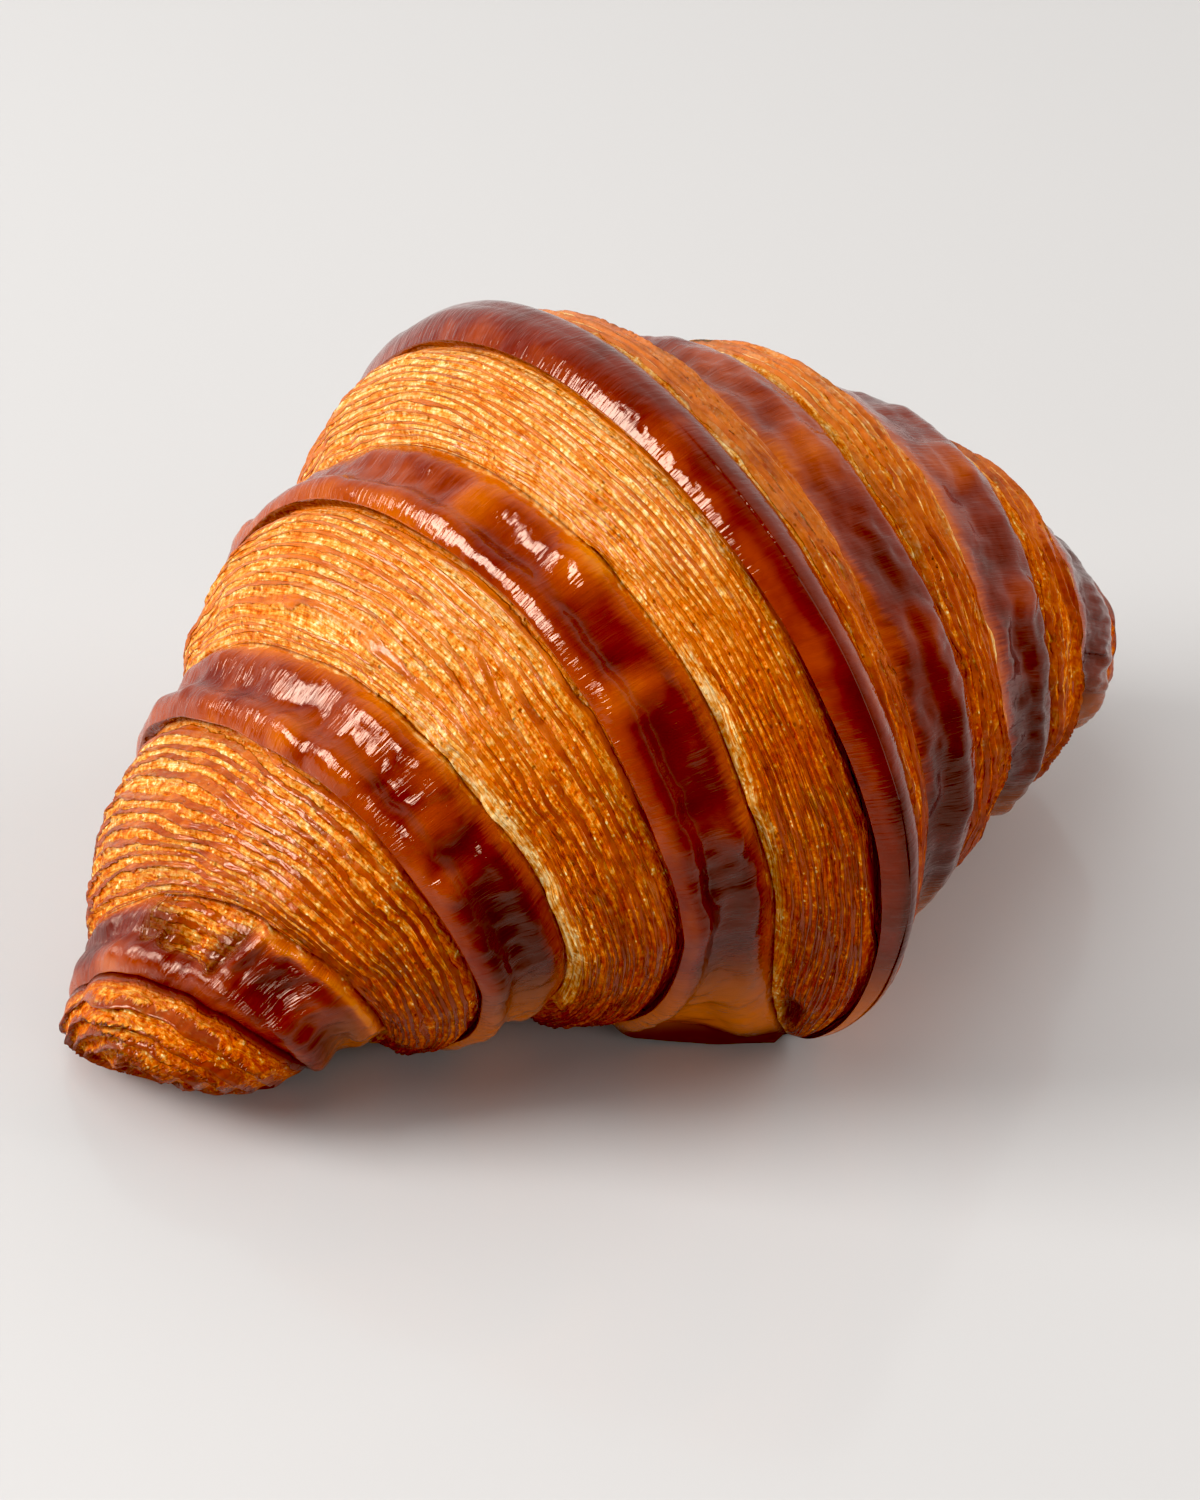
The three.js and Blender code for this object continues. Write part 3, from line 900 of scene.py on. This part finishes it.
def crust_material():
    material = bpy.data.materials.new("baked_crust")
    n = Nodes(material)
    output = n.new("ShaderNodeOutputMaterial")
    shader = n.new("ShaderNodeBsdfPrincipled")
    n.join(shader.outputs[0], output.inputs["Surface"])

    laminated, part, layer, arc, slant, blister_and_painted_shade, terrace = (n.value(name) for name in NAMES)
    where = n.new("ShaderNodeTexCoord").outputs["Object"]
    split = n.new("ShaderNodeSeparateXYZ")
    n.join(where, split.inputs[0])
    to_tail, _, height = split.outputs

    # Soft patches of stronger and weaker browning, and streaks along and across the strip
    patches = n.noise(where, *PATCHES)
    blotches = n.noise(where, *BLOTCHES)
    cross = n.streaks(arc, slant, CROSSING)
    # Painted light and shade: paler towards the key's side and the tail, browner away from them, partly also
    # the crust's own browning
    pale = n.step(n.dot(where, PALE_SIDE), 0.0, PALE_REACH, -0.5, 0.5)
    pale = n.total(pale, (n.step(to_tail, *TAIL_SIDE, 0.0, 0.32), 1.0))

    # Browned edges of the layers, wide and narrow
    row = n.math("FLOOR", layer)
    quick = n.streaks(arc, row, WIDTH_NOISE)
    middle = n.step(n.streaks(arc, row, PLACE_NOISE), 0.3, 0.7, 0.46, 0.66)
    from_edge = n.math("ABSOLUTE", n.math("SUBTRACT", n.math("FRACT", layer), middle))
    broad = n.math("MAXIMUM", terrace, n.step(pale, -0.4, 0.3, 0.40, 0.85))
    width = n.times(n.step(quick, 0.30, 0.70, 0.07, 0.24), broad)
    line = n.step(from_edge, width, n.math("ADD", width, 0.08), 1.0, 0.0)
    least = n.step(broad, 0.45, 0.85, 0.3, 0.75)
    line = n.times(line, n.step(n.streaks(arc, row, KEPT_NOISE), 0.34, 0.52, least, 1.0))
    fine = n.step(n.streaks(arc, slant, STRANDS), 0.49, 0.58, 0.0, 0.9)
    fine = n.times(fine, n.step(broad, 0.45, 0.85, 1.0, 0.35))
    raised = n.math("MAXIMUM", line, fine)

    # The crest next to a band is open crumb with few edges
    crest = n.total(-0.5 * 0.45, (part, 1.0), (blotches, 0.45))
    crest = n.times(n.step(crest, 0.10, 0.24, 1.0, 0.0), n.math("SUBTRACT", 1.0, terrace))
    crest = n.times(crest, n.step(pale, 0.05, 0.42, 1.0, 0.0))
    lines = n.times(raised, n.total(1.0, (crest, -0.75)))

    # Open crumb between the edges: pale grains and pores, longer along the strip than across
    drawn = n.new("ShaderNodeVectorMath", operation="MULTIPLY")
    n.join(where, drawn.inputs[0])
    drawn.inputs[1].default_value = GRAIN_STRETCH
    drawn = drawn.outputs[0]
    cells = n.voronoi(drawn, CELLS)
    grain = n.noise(drawn, *GRAIN)
    pores = n.step(n.voronoi(drawn, PORES), 0.08, 0.26, 1.0, 0.0)
    pores = n.times(pores, n.step(n.noise(where, *PORE_AREAS), 0.54, 0.62))
    specks = n.times(n.step(cells, 0.10, 0.36, 1.0, 0.0), n.step(n.noise(where, *SPECK_AREAS), 0.42, 0.60))
    threads = n.streaks(arc, slant, THREADS)
    tone = n.total(-0.01 - 0.58 * 0.62, (grain, 0.62), (specks, 0.24), (patches, 0.30),
                   (threads, 0.62), (pale, 0.24), (crest, 0.17))
    crumb = n.ramp(tone, CRUMB_COLOURS)
    edge_tone = n.total(0.0, (blotches, 0.5), (quick, 0.5), (pale, 0.28), (terrace, -0.08))
    edges = n.ramp(edge_tone, EDGE_COLOURS)
    face = n.mix(n.times(lines, 0.92), crumb, edges)
    face = n.mix(n.times(pores, 0.65), face, PORE_COLOUR)

    # The thin layers next to a lip are browner; shade is painted into the gap right under it and into the
    # hollow
    under = n.total(-0.5 * 0.12, (part, 1.0), (n.streaks(arc, slant, STREAKS), 0.12))
    face = n.mix(n.step(under, 0.88, 0.96, 0.0, 0.6), face, edges)
    # Painted shade in the gap right under the lip
    face = n.mix(n.step(part, 0.955, 0.985, 0.0, 0.8), face, PAINTED_SHADE_COLOUR)
    # Painted shade of the hollow beside the tongue and of the gap under the first lip
    face = n.mix(n.step(blister_and_painted_shade, 0.20, 0.80, 0.0, 0.85), face, PAINTED_SHADE_COLOUR)

    # Glazed bands: brown on the lip, mahogany behind it, amber and frayed towards the crease
    frayed = n.total(-0.5 * (0.20 + 0.40), (part, 1.0), (cross, 0.20), (blotches, 0.40))
    hollow = n.times(n.step(slant, 0.8, 3.6), n.step(frayed, 0.70, 0.96, 1.0, 0.0))
    hollow = n.times(hollow, n.total(0.50, (pale, -0.34)))
    outermost = n.step(layer, -1.0, -0.5, 1.0, 0.0)
    bead = n.step(slant, 1.6, 3.2, 1.0, 0.0)
    depth = n.total(0.31 - 0.5 * (0.75 + 0.60), (hollow, 1.0), (bead, 0.20), (pale, -0.16),
                    (outermost, 0.12), (patches, 0.75), (blotches, 0.60), (blister_and_painted_shade, -0.28))
    band = n.ramp(depth, BAND_COLOURS)
    crumbly = n.total(-0.5 * 0.45, (part, 1.0), (blotches, 0.45))
    crumbly = n.step(crumbly, 0.93, 0.99, 0.0, 0.85)
    band = n.mix(crumbly, band, crumb)

    # The rim over the underside is paler, partly where the glaze doesn't reach and partly painted bounce
    # light from the floor; shade is painted on its foot at the floor
    rim = n.times(n.step(height, *RIM_HEIGHT, 0.85, 0.0), n.step(to_tail, *RIM_FROM_NOSE))
    band = n.mix(rim, band, RIM_AND_BOUNCE_COLOUR)
    # Painted shade where the crust meets the floor
    band = n.mix(n.step(height, *FOOT_SHADE_HEIGHT, 1.0, 0.0), band, FOOT_SHADE_COLOUR)
    n.join(n.mix(laminated, band, face), shader.inputs["Base Color"])

    rough_band = n.total(0.04, (blotches, 0.10), (crumbly, 0.4))
    rough_face = n.total(0.55, (lines, -0.34))
    n.join(n.blend(laminated, rough_band, rough_face), shader.inputs["Roughness"])
    shader.inputs["IOR"].default_value = 1.50
    gloss = n.blend(laminated, BAND_GLOSS, n.total(0.12, (lines, 0.42)))
    n.join(gloss, shader.inputs["Specular IOR Level"])
    shader.inputs["Specular Tint"].default_value = GLOSS_TINT

    # Relief too fine for the mesh
    face_relief = n.total(0.0, (cells, -0.45), (grain, 0.62), (pores, -0.6))
    face_relief = n.times(face_relief, n.total(1.0, (raised, -0.85)))
    face_relief = n.total(face_relief, (raised, 0.55))
    speckle = n.noise(where, *SPECKLE)
    ripples = n.noise(where, *RIPPLES)
    band_relief = n.total(0.0, (cross, 0.20), (speckle, 0.24), (ripples, 0.46))
    bump = n.new("ShaderNodeBump")
    bump.inputs["Strength"].default_value = FINE_RELIEF_STRENGTH
    bump.inputs["Distance"].default_value = FINE_RELIEF
    n.join(n.blend(laminated, band_relief, face_relief), bump.inputs["Height"])
    n.join(bump.outputs[0], shader.inputs["Normal"])
    return material


crust.data.materials.append(crust_material())


# Floor, light and camera

def floor_material():
    material = bpy.data.materials.new("pale_floor")
    n = Nodes(material)
    output = n.new("ShaderNodeOutputMaterial")
    shader = n.new("ShaderNodeBsdfPrincipled")
    shader.inputs["Base Color"].default_value = linear(202, 201, 201)
    shader.inputs["Roughness"].default_value = 0.6
    shader.inputs["Specular IOR Level"].default_value = 0.2
    shader.inputs["Coat Weight"].default_value = 0.8
    shader.inputs["Coat Roughness"].default_value = 0.14
    n.join(shader.outputs[0], output.inputs["Surface"])
    return material


FLOOR_REACH = 6.0
FLOOR_DROP = 0.0002
FLOOR_CORNERS = ((-1, -1), (1, -1), (1, 1), (-1, 1))

floor_mesh = bpy.data.meshes.new("floor")
corners = [(FLOOR_REACH * x, FLOOR_REACH * y, 0) for x, y in FLOOR_CORNERS]
floor_mesh.from_pydata(corners, [], [(0, 1, 2, 3)])
floor = bpy.data.objects.new("floor", floor_mesh)
floor.location.z = -FLOOR_DROP
bpy.context.scene.collection.objects.link(floor)
floor.data.materials.append(floor_material())

TARGET = Vector((7.40, 12.37, 12.2)) * MM
CAMERA_AZIMUTH = math.radians(-32.58)
CAMERA_ELEVATION = math.radians(36.06)
CAMERA_DISTANCE = 501.2 * MM
LENS = 97.68

toward = Vector((
    math.sin(CAMERA_AZIMUTH) * math.cos(CAMERA_ELEVATION),
    -math.cos(CAMERA_AZIMUTH) * math.cos(CAMERA_ELEVATION),
    math.sin(CAMERA_ELEVATION),
))
camera_data = bpy.data.cameras.new("camera")
camera_data.sensor_fit = "VERTICAL"
camera_data.sensor_height = 36.0
camera_data.lens = LENS
camera_data.clip_start = 0.01
camera = bpy.data.objects.new("camera", camera_data)
camera.location = TARGET + toward * CAMERA_DISTANCE
camera.rotation_euler = (-toward).to_track_quat("-Z", "Y").to_euler()
bpy.context.scene.collection.objects.link(camera)
bpy.context.scene.camera = camera


def add_light(name, direction, distance, size, power, colour, seen_in_gloss=False):
    data = bpy.data.lights.new(name, "AREA")
    data.shape = "RECTANGLE"
    data.size, data.size_y = size
    data.energy = power
    data.color = colour
    light = bpy.data.objects.new(name, data)
    direction = Vector(direction).normalized()
    light.location = direction * distance
    light.rotation_euler = direction.to_track_quat("Z", "Y").to_euler()
    light.visible_glossy = seen_in_gloss
    bpy.context.scene.collection.objects.link(light)


# Name, direction, distance, width and height, power, colour
add_light("key", (-0.74, 0.45, 0.50), 1.1, (0.52, 0.46), 13.0, (1.0, 0.985, 0.96), True)
add_light("soft", (-0.30, 0.00, 0.95), 1.3, (1.0, 0.9), 6.0, (1.0, 0.99, 0.97))
add_light("left_fill", (-0.90, -0.45, 0.32), 1.6, (1.2, 0.8), 3.0, (1.0, 0.99, 0.98))
add_light("right_fill", (0.75, -0.30, 0.55), 1.6, (1.2, 0.8), 8.2, (1.0, 0.98, 0.95))
add_light("front_fill", (0.25, -0.92, 0.28), 1.6, (1.2, 0.6), 7.2, (1.0, 0.97, 0.93))

# A room that is bright at the back and dark behind the camera
BRIGHT_SIDE = Vector((0.80, 0.60, 0.05)).normalized()
ROOM_FACING = (-0.45, 0.75)
ROOM_BRIGHTNESS = (0.06, 0.75)
world = bpy.data.worlds.new("studio")
bpy.context.scene.world = world
world.use_nodes = True
room = world.node_tree
background = room.nodes["Background"]
background.inputs["Color"].default_value = (1.0, 0.975, 0.95, 1.0)
direction = room.nodes.new("ShaderNodeTexCoord")
facing = room.nodes.new("ShaderNodeVectorMath")
facing.operation = "DOT_PRODUCT"
facing.inputs[1].default_value = BRIGHT_SIDE
brightness = room.nodes.new("ShaderNodeMapRange")
brightness.interpolation_type = "SMOOTHSTEP"
brightness.inputs["From Min"].default_value = ROOM_FACING[0]
brightness.inputs["From Max"].default_value = ROOM_FACING[1]
brightness.inputs["To Min"].default_value = ROOM_BRIGHTNESS[0]
brightness.inputs["To Max"].default_value = ROOM_BRIGHTNESS[1]
room.links.new(direction.outputs["Generated"], facing.inputs[0])
room.links.new(facing.outputs["Value"], brightness.inputs["Value"])
room.links.new(brightness.outputs["Result"], background.inputs["Strength"])

bpy.context.scene.view_settings.view_transform = "Standard"
bpy.context.scene.view_settings.look = "None"

# The deep blacks of a photograph that was printed with some contrast
bpy.context.scene.view_settings.use_curve_mapping = True
tone_curve = bpy.context.scene.view_settings.curve_mapping
tone_curve.black_level = (0.012, 0.012, 0.012)
tone_curve.update()
